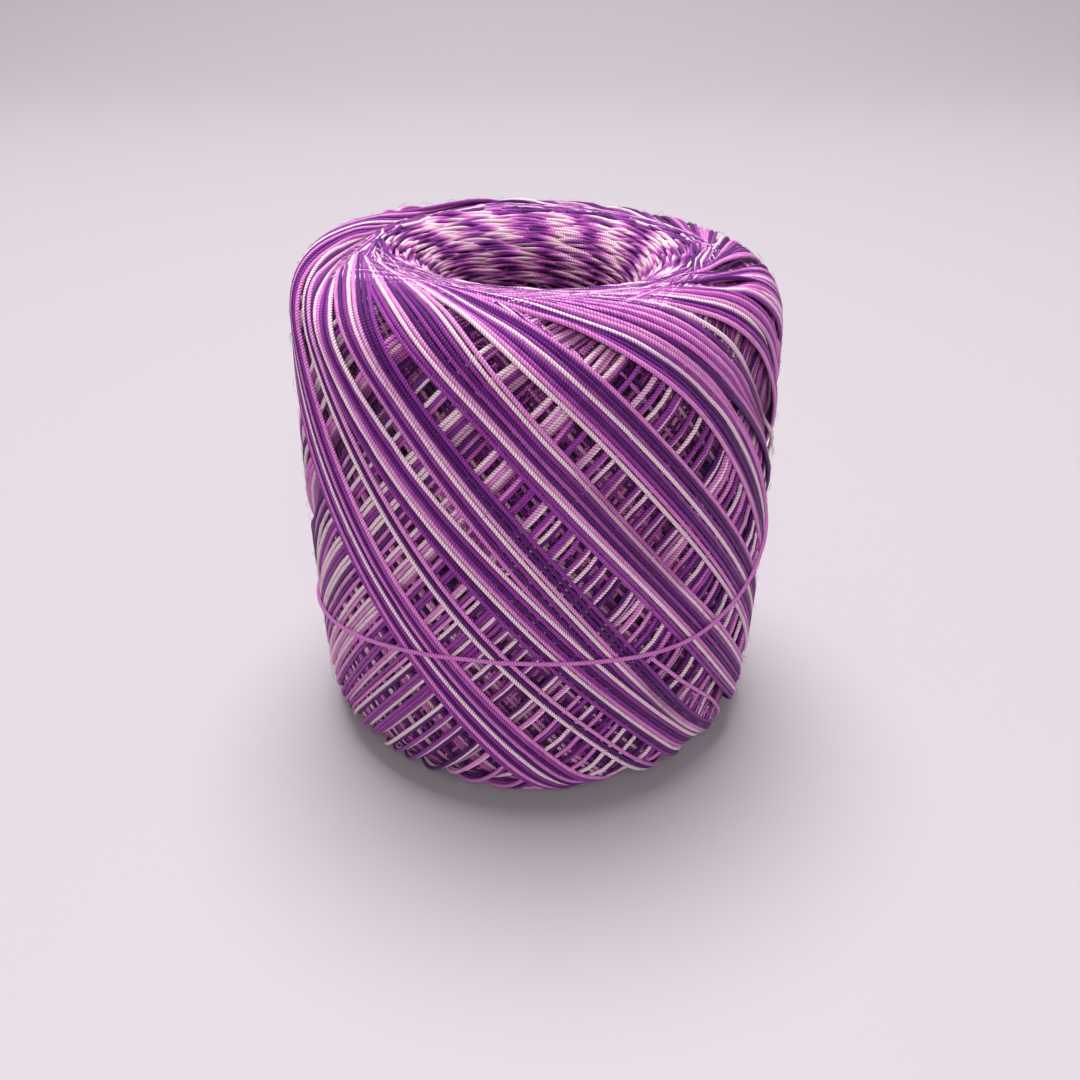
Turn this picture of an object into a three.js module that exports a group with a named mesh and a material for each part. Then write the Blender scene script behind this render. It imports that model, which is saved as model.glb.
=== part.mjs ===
// A ball of fine crochet thread, machine wound round an open middle: a barrel with rounded shoulders,
// a funnel in each end and crossing bands of thread raised on its side.
// Millimetres, +Z up. The origin is under the middle of the ball, on the surface that it stands on.
import * as THREE from "three";

// The wound body
const BALL_DIAMETER = 64;
const BALL_HEIGHT = 66.9;
const BARREL_CROWN = 1.15; // how much the side draws in from its middle to the level of each end
const SHOULDER_HEIGHT = 9.8; // from an end down to where the straight part of the side begins
const SHOULDER_ROUNDNESS = 2.59; // exponent of the shoulder's superellipse: 2 is an ellipse
const LIP_RADIUS = 22.2; // crest of each end, where the threads turn back
const NECK_RADIUS = 11.5; // the open middle that the mandrel left
const FUNNEL_DEPTH = 8.5;
const TOP_LEAN = 0.037; // the top end rises towards -X by this slope

// The flat ring that the ball rests on
const REST_INNER_RADIUS = 20.2;
const REST_OUTER_RADIUS = 24.4;
const RING_MARGIN = 0.8; // no row of the shoulder starts closer to the ring

// The winding: every wrap runs straight over the surface and turns back where it touches the lip.
// On the way it falls along one helix and climbs back along the mirrored one.
const PULL_ON_SIDE = 20.4; // a wrap's slope is that of a straight line past a circle of this radius
const PULL_AT_LIP = 22.1; // and of this radius near the lip, where the older turns bend it
const QUARTER_TURN = 90; // degrees round the axis from the middle of the side to the lip
const NEWEST_WRAP = 135; // azimuth where the newest wrap touches the top lip
const BAND_RELIEF = 1.2; // a band stands this far over the gaps beside it
const BAND_EDGE = 2.6; // half the width of a band's sloping edge, in degrees
const RELIEF_FADES_FROM = 62; // sweep, in degrees, where the bands begin to run together at a lip

// The newest bands, in the reverse of the order that they were wound. turn: azimuth where the middle
// of the band touches the top lip. width: across the band, both in degrees round the axis.
const NEW_BANDS = [
  { turn: 139.9, width: 12.7 },
  { turn: 158.3, width: 3.5 },
  { turn: 173.3, width: 11.6 },
  { turn: 185.5, width: 11.5 },
  { turn: 207.6, width: 11.2 },
  { turn: 229.4, width: 13.8 },
  { turn: 251.5, width: 13.0 },
  { turn: 271.0, width: 12.5 },
];

// The rest of the way round the wraps lie in evenly spaced bands of two or three threads.
const OLD_BANDS = { count: 19, firstTurn: 286, pitch: 11.1, width: 5 };

// The lattice of faces
const COLUMNS = 64;
const COLUMN_STEP = 360 / COLUMNS;
const ROW_SWEEP_ON_SIDE = COLUMN_STEP / 2; // a row up, the threads have moved on by half a column
const ROW_SWEEP_AT_SHOULDER = (3 * COLUMN_STEP) / 2; // still an odd number of half columns
const SIDE_SWEEP = 19 * ROW_SWEEP_ON_SIDE; // rows are close as far as this sweep from the middle
const SHOULDER_SHARE = 0.4; // of the trace from the middle of the side to the lip
const TRACE_STEPS = 4000;
const FUNNEL_ROWS = 6;

const degrees = THREE.MathUtils.radToDeg;
const radians = THREE.MathUtils.degToRad;

const bands = [
  ...NEW_BANDS,
  ...Array.from({ length: OLD_BANDS.count }, (_, i) => ({
    turn: OLD_BANDS.firstTurn + i * OLD_BANDS.pitch,
    width: OLD_BANDS.width,
  })),
];

// Radius of the barrel's side at a height above its middle.
function sideRadius(rise) {
  const share = rise / (BALL_HEIGHT / 2);
  return BALL_DIAMETER / 2 - BARREL_CROWN * share * share;
}

// The upper half of the outside, from the middle of the side (0) to the lip (1): radius and rise.
function outsideAt(share) {
  const straightRise = BALL_HEIGHT / 2 - SHOULDER_HEIGHT;
  const straightShare = 1 - SHOULDER_SHARE;
  if (share <= straightShare) {
    const rise = (share / straightShare) * straightRise;
    return { radius: sideRadius(rise), rise };
  }
  const angle = ((share - straightShare) / SHOULDER_SHARE) * (Math.PI / 2);
  const power = 2 / SHOULDER_ROUNDNESS;
  const reach = sideRadius(straightRise) - LIP_RADIUS;
  return {
    radius: LIP_RADIUS + reach * Math.max(Math.cos(angle), 0) ** power,
    rise: straightRise + SHOULDER_HEIGHT * Math.sin(angle) ** power,
  };
}

// Follows one wrap from the middle of the side up to the lip. Its slope comes from its radius and
// from the circle that it pulls towards. Returns points with the sweep that it has made there.
function traceWrap() {
  const points = [{ sweep: 0, ...outsideAt(0) }];
  for (let i = 1; i <= TRACE_STEPS; i++) {
    const last = points[i - 1];
    const share = i / TRACE_STEPS;
    const next = outsideAt(share);
    const length = Math.hypot(next.radius - last.radius, next.rise - last.rise);
    const radius = (next.radius + last.radius) / 2;
    const pull = PULL_ON_SIDE + (PULL_AT_LIP - PULL_ON_SIDE) * share * share;
    const climb = Math.sqrt(radius * radius - pull * pull);
    const step = (pull * length) / (radius * climb);
    points.push({ sweep: last.sweep + degrees(step), ...next });
  }
  const stretch = QUARTER_TURN / points[TRACE_STEPS].sweep;
  return points.map((point) => ({ ...point, sweep: point.sweep * stretch }));
}

// Rows of the upper half's outside, from the middle of the side to the lip.
function outsideRows() {
  const trace = traceWrap();
  const last = trace[trace.length - 1];
  const rows = [];
  let wanted = 0;
  while (wanted < last.sweep - ROW_SWEEP_AT_SHOULDER / 2) {
    rows.push(trace.find((point) => point.sweep >= wanted));
    wanted += wanted < SIDE_SWEEP ? ROW_SWEEP_ON_SIDE : ROW_SWEEP_AT_SHOULDER;
  }
  rows.push(last);
  return rows;
}

// Rows of a funnel from the lip to the neck: a quarter of an ellipse, level at the lip. The threads
// have made their whole turn at the lip, so these rows carry no bands.
function funnelRows() {
  const rows = [];
  for (let i = 1; i <= FUNNEL_ROWS; i++) {
    const angle = (i / FUNNEL_ROWS) * (Math.PI / 2);
    rows.push({
      radius: NECK_RADIUS + (LIP_RADIUS - NECK_RADIUS) * (1 - Math.sin(angle)),
      rise: BALL_HEIGHT / 2 - FUNNEL_DEPTH * (1 - Math.cos(angle)),
      sweep: QUARTER_TURN,
    });
  }
  return rows;
}

// The two edges of the flat ring that the ball rests on.
function restRows() {
  const radii = [REST_INNER_RADIUS, REST_OUTER_RADIUS];
  return radii.map((radius) => ({ radius, rise: -BALL_HEIGHT / 2, sweep: -QUARTER_TURN }));
}

// The closed section, from the bottom neck out over the side and back down to the top neck. The
// bottom half mirrors the top, but for its flat ring.
function sectionRows() {
  const outside = outsideRows();
  const upper = [...outside.slice(1), ...funnelRows()];
  const mirrored = upper.map((row) => ({ ...row, rise: -row.rise, sweep: -row.sweep })).reverse();
  const inFunnel = mirrored.slice(0, FUNNEL_ROWS);
  const outOfRing = mirrored.slice(FUNNEL_ROWS).filter((row) => row.radius > REST_OUTER_RADIUS + RING_MARGIN);
  return [...inFunnel, ...restRows(), ...outOfRing, outside[0], ...upper];
}

// Angle of b past a, from -180 to 180 degrees.
function turnBetween(a, b) {
  return THREE.MathUtils.euclideanModulo(b - a + 180, 360) - 180;
}

// 1 on a band and 0 between bands, for threads that touch the top lip at this azimuth.
function onBand(turn) {
  let most = 0;
  for (const band of bands) {
    const outside = Math.abs(turnBetween(band.turn, turn)) - band.width / 2;
    most = Math.max(most, 1 - THREE.MathUtils.smoothstep(outside, -BAND_EDGE, BAND_EDGE));
  }
  return most;
}

// How far the surface lies under the crests of the bands. Falling and climbing threads cross
// everywhere, and the ones that were wound last lie on top.
function reliefAt(azimuth, sweep) {
  const falling = azimuth - QUARTER_TURN + sweep;
  const climbing = azimuth + QUARTER_TURN - sweep;
  const fallingAge = THREE.MathUtils.euclideanModulo(falling - NEWEST_WRAP, 360);
  const climbingAge = THREE.MathUtils.euclideanModulo(climbing - NEWEST_WRAP, 360);
  const top = fallingAge < climbingAge ? falling : climbing;
  const fade = 1 - THREE.MathUtils.smoothstep(Math.abs(sweep), RELIEF_FADES_FROM, QUARTER_TURN);
  return BAND_RELIEF * fade * (onBand(top) - 1);
}

function pointAt(row, index, column) {
  const azimuth = (column + (index % 2) / 2) * COLUMN_STEP;
  const radius = row.radius + reliefAt(azimuth, row.sweep);
  const height = BALL_HEIGHT / 2 + row.rise;
  const x = radius * Math.cos(radians(azimuth));
  const y = radius * Math.sin(radians(azimuth));
  return [x, y, height - (TOP_LEAN * x * height) / BALL_HEIGHT];
}

// Joins the rows into one closed surface, faces outward. The last row closes on the first along the
// open middle.
function woundGeometry() {
  const rows = sectionRows();
  const positions = rows.flatMap((row, index) =>
    Array.from({ length: COLUMNS }, (_, column) => pointAt(row, index, column)).flat(),
  );
  const indices = [];
  rows.forEach((_, index) => {
    const next = (index + 1) % rows.length;
    const shifted = index % 2;
    const nextShifted = next % 2;
    for (let column = 0; column < COLUMNS; column++) {
      const after = (column + 1) % COLUMNS;
      const here = index * COLUMNS + column;
      const hereAfter = index * COLUMNS + after;
      const above = next * COLUMNS + column;
      const aboveAfter = next * COLUMNS + after;
      if (shifted > nextShifted) {
        indices.push(here, aboveAfter, above, here, hereAfter, aboveAfter);
      } else {
        indices.push(here, hereAfter, above, hereAfter, aboveAfter, above);
      }
    }
  });
  const geometry = new THREE.BufferGeometry();
  geometry.setAttribute("position", new THREE.Float32BufferAttribute(positions, 3));
  geometry.setIndex(indices);
  geometry.computeVertexNormals();
  return geometry;
}

const thread = new THREE.MeshStandardMaterial({ color: 0x9a56b4, roughness: 0.75, metalness: 0 });

const woundBall = new THREE.Mesh(woundGeometry(), thread);
woundBall.name = "wound_ball";

const ball = new THREE.Group();
ball.add(woundBall);

export default ball;
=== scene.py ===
"""A ball of fine crochet thread, wound crosswise round an open middle and standing on one end.

The thread is laid as a winding machine lays it. A wrap climbs the side, turns back over the top lip,
falls down the other side and turns back over the bottom lip. The wraps are placed from the newest,
right under the ball's skin, down to the oldest, so that each one runs below all that cross it.

A place on the skin is an azimuth in degrees, anticlockwise from +X as seen from above, and a length
in millimetres along the ball's section: 0 at the middle of the side, growing up over the top lip,
down the top funnel and the open middle, and negative the same way past the bottom lip.
"""

import math

import bpy
import numpy as np
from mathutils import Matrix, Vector


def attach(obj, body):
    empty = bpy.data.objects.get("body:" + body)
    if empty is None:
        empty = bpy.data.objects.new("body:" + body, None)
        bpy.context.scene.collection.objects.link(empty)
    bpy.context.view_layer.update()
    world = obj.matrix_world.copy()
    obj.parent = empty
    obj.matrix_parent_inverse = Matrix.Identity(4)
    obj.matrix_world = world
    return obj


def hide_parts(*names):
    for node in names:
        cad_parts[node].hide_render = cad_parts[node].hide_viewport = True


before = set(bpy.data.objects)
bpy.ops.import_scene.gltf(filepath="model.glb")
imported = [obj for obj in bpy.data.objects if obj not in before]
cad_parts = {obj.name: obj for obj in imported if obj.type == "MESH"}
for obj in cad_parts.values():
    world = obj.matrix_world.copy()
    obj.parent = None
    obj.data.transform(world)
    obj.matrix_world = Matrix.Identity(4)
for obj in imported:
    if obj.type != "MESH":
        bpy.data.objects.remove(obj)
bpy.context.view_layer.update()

MM = 0.001
rng = np.random.default_rng(64)

# The wound body, in millimetres, as its solid has it
BALL_RADIUS = 32.0
BALL_HEIGHT = 66.9
BARREL_CROWN = 1.15  # how much the side draws in from its middle to the level of each end
SHOULDER_HEIGHT = 9.8
SHOULDER_ROUNDNESS = 2.59  # exponent of the shoulder's superellipse
LIP_RADIUS = 22.2  # crest of each end
NECK_RADIUS = 11.5  # the open middle
FUNNEL_DEPTH = 8.5
TOP_LEAN = 0.037  # the top end rises towards -X by this slope

# The thread, in millimetres
THREAD_RADIUS = 0.27
NESTED_RADIUS = 0.225  # crossing threads press into each other, so they stack closer than their size
PLIES = 3
PLY_STEP = 0.38  # from one ply to the next along the thread
LINE_STEP = 0.16  # between the points of a thread's line

# Dye tones of the thread, as places on the dye ramp, and the letters that stand for them
DEEP, VIOLET, LILAC, CREAM = 0.0, 0.33, 0.68, 1.0
TONES = {"d": DEEP, "v": VIOLET, "l": LILAC, "c": CREAM}

# Bands of the newest wraps: the azimuth where the band's first and last wrap fall past the middle of
# the side, how far these two stray from their ideal line at the top lip, on the shoulder, high and
# low on the side (all in degrees), and the dye tone of each wrap from first to last.
NEW_BANDS = [
    # first, last, (lip), (shoulder), (high), (low), tones
    (-136.6, -123.9, (0.0, 20.0), (0.0, 20.0), (0.0, 7.5), (-2.7, -2.3), "vldvcdldvl"),
    (-113.3, -110.1, (12.0, 11.0), (12.0, 11.0), (4.3, 4.5), (0.7, 0.7), "cdl"),
    (-102.4, -91.2, (5.0, 0.0), (5.0, 0.3), (-2.0, -3.9), (0.9, -1.3), "vdclvdvc"),
    (-90.0, -79.0, (0.0, 3.6), (1.3, 4.5), (3.0, 1.1), (-4.1, -7.5), "ldvclddv"),
    (-68.0, -57.0, (-5.5, 3.0), (-4.5, 4.0), (1.2, 2.0), (-4.3, -1.9), "vvcldvdvcl"),
    (-47.4, -33.9, (1.4, -4.6), (-0.9, -2.1), (2.3, 0.6), (-3.1, -1.7), "clvdvcvddl"),
    (-24.8, -14.6, (-12.0, -5.4), (-3.3, -1.2), (6.0, 3.9), (-1.7, -1.1), "lvddcvll"),
    (-5.2, 7.0, (-12.6, -4.3), (-8.8, -5.2), (-4.3, -6.1), (0.0, 0.0), "ddlvlvldvc"),
    (11.0, 18.0, (-8.0, 10.5), (-3.7, 6.0), (-1.2, -0.2), (0.0, 0.0), "lvdclvlv"),
    (36.5, 50.0, (7.5, 3.0), (1.7, 1.0), (0.0, 0.0), (0.0, 0.0), "dlvclvdvlv"),
]
NEW_TURN_RADII = (22.05, 22.35)  # least and most radius at which a new band turns back
NEW_TURN_STEP = 0.06  # between the radii at which neighbouring wraps of a band turn back
NEW_SLACK = 0.05  # how readily a thread rises between those that it runs under, as a curvature

# Groups of the older wraps: from and to which azimuth they fall past the middle of the side, the
# pitch of the groups, the wraps in a group and their tones.
OLD_GROUPS = [
    (19.5, 35.0, 3.8, 2, "clvcdl"),
    (52.5, 222.0, 3.8, 2, "vdlldcvdcdvlddlc"),
]
BURIED_GROUPS = [(-137.0, 222.0, 4.35, 2, "ldvcdvldclvd")]
DEEPEST_GROUPS = [(-139.0, 220.0, 5.6, 2, "dvldddvcdd")]
OLD_TURN_RADIUS, BURIED_TURN_RADIUS, DEEPEST_TURN_RADIUS = 21.7, 20.8, 19.6
OLD_SLACK, BURIED_SLACK = 0.12, 0.06
THREAD_PITCH = 1.28  # azimuth between neighbouring wraps of a group
GROUP_TURN_STEP = 0.2  # between the radii at which neighbouring wraps of a group turn back
GROUP_TURN_SPREAD = (-0.8, 0.7)  # how far a group turns back from the layer's turn radius
EXTRA_WRAP_CHANCE = 0.12  # of one wrap more in a group

# How unevenly the wraps lie, as spreads in degrees round the axis
WRAP_SHIFT = 0.06  # where each wrap falls
GROUP_SHIFT = 0.35  # where each group falls
BAND_CLIMB_STRAY = 0.9  # how a new band strays as it climbs
GROUP_STRAY = 0.5  # how an older group strays
WRAP_STRAY = 0.1  # and each wrap from its group
SHARED_DRIFT = 0.12  # slow waves that a band or group has in common
OWN_DRIFT = 0.035  # and that each wrap has
DRIFT_WAVES = np.arange(1, 8)

# How the dye changes along a wrap
CHARTED_QUARTERS = 1.45  # quarter turns to each side of its fall that have the charted tone
TONE_CHANGE = 0.35  # quarter turns over which it changes
TONE_DRIFT = 0.03  # slow waves in each wrap's tone


def blur(values, width, closed=True):
    """Smooths a row of values with a bell of this many steps."""
    reach = int(3 * width) + 1
    bell = np.exp(-0.5 * (np.arange(-reach, reach + 1) / width) ** 2)
    padded = np.pad(values, reach, mode="wrap" if closed else "edge")
    return np.convolve(padded, bell / bell.sum(), mode="valid")


def ease(x):
    """Rises smoothly from 0 to 1 as x does."""
    t = np.clip(x, 0.0, 1.0)
    return t * t * (3 - 2 * t)


# The skin of the ball

SIDE_POINTS, SHOULDER_POINTS, BORE_POINTS = 400, 600, 400
SKIN_POINTS = 4000


def upper_section():
    """Radius and height over the middle of the side, from there up to the lip, down the funnel and
    down the open middle."""
    straight = BALL_HEIGHT / 2 - SHOULDER_HEIGHT
    rise = np.linspace(0, straight, SIDE_POINTS)
    side = BALL_RADIUS - BARREL_CROWN * (rise / (BALL_HEIGHT / 2)) ** 2
    angle = np.linspace(0, math.pi / 2, SHOULDER_POINTS)[1:]
    power = 2 / SHOULDER_ROUNDNESS
    shoulder = LIP_RADIUS + (side[-1] - LIP_RADIUS) * np.abs(np.cos(angle)) ** power
    shoulder_rise = straight + SHOULDER_HEIGHT * np.sin(angle) ** power
    funnel = NECK_RADIUS + (LIP_RADIUS - NECK_RADIUS) * (1 - np.sin(angle))
    funnel_rise = BALL_HEIGHT / 2 - FUNNEL_DEPTH * (1 - np.cos(angle))
    bore_rise = np.linspace(funnel_rise[-1], 0, BORE_POINTS)[1:]
    bore = np.full(len(bore_rise), NECK_RADIUS)
    radius = np.concatenate([side, shoulder, funnel, bore])
    return radius, np.concatenate([rise, shoulder_rise, funnel_rise, bore_rise])


def skin_table():
    """Length along the section, radius, rise and outward normal."""
    radius, rise = upper_section()
    length = np.concatenate([[0], np.cumsum(np.hypot(np.diff(radius), np.diff(rise)))])
    even = np.linspace(0, length[-1], SKIN_POINTS)
    radius = np.interp(even, length, radius)
    rise = np.interp(even, length, rise)
    length = np.concatenate([-even[:0:-1], even])
    radius = np.concatenate([radius[:0:-1], radius])
    rise = np.concatenate([-rise[:0:-1], rise])
    along_radius = np.gradient(radius, length)
    along_rise = np.gradient(rise, length)
    size = np.hypot(along_radius, along_rise)
    return length, radius, rise, along_rise / size, -along_radius / size


SKIN_LENGTH, SKIN_RADIUS, SKIN_RISE, SKIN_OUT, SKIN_UP = skin_table()
LIP_LENGTH = SKIN_LENGTH[np.argmax(SKIN_RISE)]
WHOLE_LENGTH = SKIN_LENGTH[-1]
NECK_LENGTH = WHOLE_LENGTH - (BALL_HEIGHT / 2 - FUNNEL_DEPTH)


def radius_at(length):
    return np.interp(length, SKIN_LENGTH, SKIN_RADIUS)


def lean(points):
    """Raises the top of the ball towards -X."""
    points = np.array(points, float)
    points[:, 2] -= TOP_LEAN * points[:, 0] * points[:, 2] / BALL_HEIGHT
    return points


def on_skin(azimuth, length, height):
    """Points at these places, this far out of the skin, with the skin's normals there."""
    a = np.radians(azimuth)
    out = np.interp(length, SKIN_LENGTH, SKIN_OUT)
    up = np.interp(length, SKIN_LENGTH, SKIN_UP)
    reach = radius_at(length) + height * out
    z = BALL_HEIGHT / 2 + np.interp(length, SKIN_LENGTH, SKIN_RISE) + height * up
    points = np.stack([reach * np.cos(a), reach * np.sin(a), z], axis=1)
    normals = np.stack([out * np.cos(a), out * np.sin(a), up], axis=1)
    return lean(points), normals


def one_place(azimuth, length, height):
    """A single point on the skin, with its normal, each as an array of one row."""
    return on_skin(np.array([azimuth]), np.array([length]), np.array([height]))


# The line of a wrap

QUARTER_TURN = 90.0
QUARTER_POINTS = 241
SIDE_PULL = 20.4  # slope of a wrap: that of a straight line past a circle of this radius
TURN_EASE = 0.1  # and at its turn, of a circle this much smaller than the one where it turns

# Where the strays of a wrap apply, in quarter turns from its fall past the middle of the side. It
# turns back over the top lip at -1 and over the bottom lip at 1, and climbs past the middle at 2.
STRAY_KNOTS = [-2, -1.55, -1.3, -1, -0.68, -0.43, 0, 0.42, 1, 1.55, 2]
BEFORE_LIP = 0.6  # share of its stray at the lip that a wrap has before it gets there
STRAY_POINTS = 400  # round one wrap,
STRAY_BELL = 7  # and how many of them the strays are smoothed over


def quarter_line(turn_radius):
    """A quarter of a wrap, from the middle of the side to where it turns back: its sweep round the
    axis and its length along the section."""
    past_middle = (SKIN_LENGTH >= 0) & (SKIN_LENGTH < NECK_LENGTH)
    turn_length = np.interp(-turn_radius, -SKIN_RADIUS[past_middle], SKIN_LENGTH[past_middle])
    angle = np.linspace(0, math.pi / 2, QUARTER_POINTS)
    middle = (angle[1:] + angle[:-1]) / 2
    length = turn_length * np.sin(middle)
    radius = radius_at(length)
    pull = SIDE_PULL + (turn_radius - TURN_EASE - SIDE_PULL) * (length / turn_length) ** 2
    climb = np.sqrt(radius**2 - pull**2)
    step = pull / (radius * climb) * np.cos(middle)
    sweep = np.concatenate([[0], np.cumsum(step)])
    return sweep / sweep[-1] * QUARTER_TURN, turn_length * np.sin(angle)


def wrap_line(fall, top_turn, bottom_turn, strays):
    """The closed line of one wrap that falls past the middle of the side at this azimuth. strays:
    how far it strays sideways high as it climbs, at the top lip, on the shoulder, high and low as it
    falls, and low as it climbs again."""
    sweep_up, rise_up = quarter_line(top_turn)
    sweep_low, rise_low = quarter_line(bottom_turn)
    azimuth = np.concatenate(
        [
            fall - 180 + sweep_up,
            fall - sweep_up[::-1][1:],
            fall + sweep_low[1:],
            fall + 180 - sweep_low[::-1][1:-1],
        ]
    )
    length = np.concatenate([rise_up, rise_up[::-1][1:], -rise_low[1:], -rise_low[::-1][1:-1]])
    climb_high, lip, shoulder, high, low, climb_low = strays
    shifts = [0, climb_high, BEFORE_LIP * lip, lip, shoulder, high, 0, low, 0, climb_low, 0]
    turns = np.linspace(-2, 2, STRAY_POINTS, endpoint=False)
    smooth = blur(np.interp(turns, STRAY_KNOTS, shifts), STRAY_BELL)
    return azimuth + np.interp((azimuth - fall) / QUARTER_TURN, turns, smooth, period=4), length


# The map of heights

PLACES_ACROSS = 9  # that a thread is measured at, side by side,
SHARE_ACROSS = 0.94  # over this share of its thickness
STIFFNESS = 0.5  # millimetres of the bell that a laid thread is smoothed with

EVEN_DEPTH = 1.1  # threads keep their height down to this depth,
PACKED_DEPTH = 0.6  # and the deeper ones are packed into this much more,
PACKING_EASE = 2.2  # as slowly as this

CREST_COLUMNS = 7.0  # widths of the bells that the crest of the winding is smoothed with, in cells
CREST_ROWS = 3.0
CREST_FIRMNESS = 20.0  # how strongly the topmost thread counts over the others
LEAST_CREST = 1e-13  # keeps the logarithm finite where no thread lies
RISE_FROM = 17.0  # threads rise to the skin from this length on towards each lip,
RISE_OVER = 7.0  # and fully so after this much more


def packed(height):
    below = np.maximum(-height - EVEN_DEPTH, 0)
    pressed = PACKED_DEPTH * np.tanh(below / PACKED_DEPTH / PACKING_EASE)
    return np.maximum(height, -EVEN_DEPTH) - pressed


def taut(floor, slack, closed):
    """The lowest line over floor that nowhere curves upwards by more than slack a step."""
    count = len(floor)
    tiled = np.concatenate([floor, floor, floor]) if closed else floor
    steps = np.arange(len(tiled)) - len(tiled) / 2
    level = tiled - slack * steps**2 / 2
    hull = []
    for i in range(len(level)):
        while len(hull) > 1:
            a, b = hull[-2], hull[-1]
            if (level[b] - level[a]) * (i - a) > (level[i] - level[a]) * (b - a):
                break
            hull.pop()
        hull.append(i)
    line = np.interp(np.arange(len(level)), hull, level[hull]) + slack * steps**2 / 2
    return line[count : 2 * count] if closed else line


class Skin:
    """The room left under the ball's skin and the tops of the threads laid there, on an even grid of
    azimuth and length. The newest threads are laid first, right under the skin, and each older one
    runs below all that cross it."""

    COLUMNS = 1440
    CELL = 0.15
    PAST_LIP = 4.0  # how far the grid goes on past each lip
    NO_THREAD = -9.0  # height of the tops where no thread lies

    def __init__(self):
        self.reach = LIP_LENGTH + self.PAST_LIP
        self.rows = int(2 * self.reach / self.CELL) + 1
        self.room = np.zeros((self.COLUMNS, self.rows))
        self.tops = np.full((self.COLUMNS, self.rows), self.NO_THREAD)

    def settle(self):
        """Finds the height of the topmost threads round each place near a lip, so that all of them
        there can rise by as much as these lie below the skin."""
        width = np.minimum(np.arange(self.COLUMNS), self.COLUMNS - np.arange(self.COLUMNS))
        bell = np.exp(-0.5 * (width / CREST_COLUMNS) ** 2)
        across = np.fft.rfft(bell / bell.sum())[:, None]
        weights = np.fft.rfft(np.exp(CREST_FIRMNESS * self.tops), axis=0) * across
        smooth = np.maximum(np.fft.irfft(weights, self.COLUMNS, axis=0), 0)
        smooth = np.array([blur(row, CREST_ROWS, False) for row in smooth])
        length = np.arange(self.rows) * self.CELL - self.reach
        near_lip = ease((np.abs(length) - RISE_FROM) / RISE_OVER)
        self.crest = np.log(np.maximum(smooth, LEAST_CREST)) / CREST_FIRMNESS * near_lip

    def cells(self, azimuth, length):
        column = np.rint(azimuth * (self.COLUMNS / 360)).astype(int) % self.COLUMNS
        row = np.rint((length + self.reach) / self.CELL).astype(int)
        return column, np.clip(row, 0, self.rows - 1)

    def beside(self, azimuth, length):
        """The places side by side across a thread, with the half thickness of the thread there."""
        radius = radius_at(length)
        along = np.gradient(np.radians(azimuth)) * radius
        up = np.gradient(length)
        size = np.hypot(along, up)
        for offset in np.linspace(-SHARE_ACROSS, SHARE_ACROSS, PLACES_ACROSS) * NESTED_RADIUS:
            shift = np.degrees(-up / size * offset / radius)
            cell = self.cells(azimuth + shift, length + along / size * offset)
            yield cell, math.sqrt(NESTED_RADIUS**2 - offset**2)

    def lay_under(self, azimuth, length, slack):
        """Lays a closed thread below all the others and returns the height of its middle."""
        places = list(self.beside(azimuth, length))
        ceiling = np.min([self.room[cell] - half for cell, half in places], axis=0)
        middle = -taut(-ceiling, slack * LINE_STEP**2, True)
        middle = blur(middle, STIFFNESS / LINE_STEP)
        for cell, half in places:
            np.minimum.at(self.room, cell, middle - half)
            np.maximum.at(self.tops, cell, packed(middle) + half)
        return middle

    def lay_over(self, azimuth, length, slack, closed):
        """Height of the middle of a thread that lies over all the others, once these have risen."""
        places = list(self.beside(azimuth, length))
        floor = np.max([self.tops[cell] - self.crest[cell] + half for cell, half in places], axis=0)
        return blur(taut(floor, slack * LINE_STEP**2, closed), STIFFNESS / LINE_STEP, closed)


def evenly(azimuth, length, closed=True):
    """The same line with a point every LINE_STEP or so, and the way travelled along it."""
    if closed:
        azimuth = np.append(azimuth, azimuth[0] + 360)
        length = np.append(length, length[0])
    around = np.diff(np.radians(azimuth)) * radius_at((length[1:] + length[:-1]) / 2)
    travelled = np.concatenate([[0], np.cumsum(np.hypot(around, np.diff(length)))])
    count = int(travelled[-1] / LINE_STEP)
    places = np.linspace(0, travelled[-1], count, endpoint=not closed)
    return np.interp(places, travelled, azimuth), np.interp(places, travelled, length), places


# Threads as meshes


def add_piece(mesh, material):
    """Shows this mesh as a piece of the wound ball."""
    mesh.polygons.foreach_set("use_smooth", np.ones(len(mesh.polygons), bool))
    mesh.materials.append(material)
    mesh.update()
    piece = bpy.data.objects.new(mesh.name, mesh)
    bpy.context.scene.collection.objects.link(piece)
    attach(piece, "root")
    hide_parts("wound_ball")


class Strands:
    """Threads that become one mesh. Each is a row of points with normals, dye tones, lengths and
    shades: 1 in full light and 0 deep in the winding."""

    def __init__(self, name, sides):
        self.name = name
        self.sides = sides
        self.laid = []

    def add(self, points, normals, tones, travelled, radius=THREAD_RADIUS, closed=False, shades=None):
        if shades is None:
            shades = np.ones(len(points))
        self.laid.append((points, normals, tones, shades, travelled, radius, closed))

    def build(self, material):
        parts = [tube(*strand, self.sides) for strand in self.laid]
        starts = np.cumsum([0] + [len(part["points"]) for part in parts])
        points = np.concatenate([part["points"] for part in parts])
        points[:, 2] = np.maximum(points[:, 2], 0.0)
        faces = np.concatenate([part["faces"] + start for part, start in zip(parts, starts)])
        mesh = bpy.data.meshes.new(self.name)
        mesh.from_pydata(points * MM, [], faces)
        thread_map = mesh.uv_layers.new(name="thread")
        thread_map.uv.foreach_set("vector", np.concatenate([part["map"] for part in parts]).ravel())
        bake_map = mesh.uv_layers.new(name="OFBake")
        bake_map.uv.foreach_set("vector", strips(parts).ravel())
        mesh.uv_layers.active = thread_map
        thread_map.active_render = True
        for label in ("dye", "shade"):
            values = mesh.attributes.new(label, "FLOAT", "POINT")
            values.data.foreach_set("value", np.concatenate([part[label] for part in parts]))
        add_piece(mesh, material)


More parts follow.
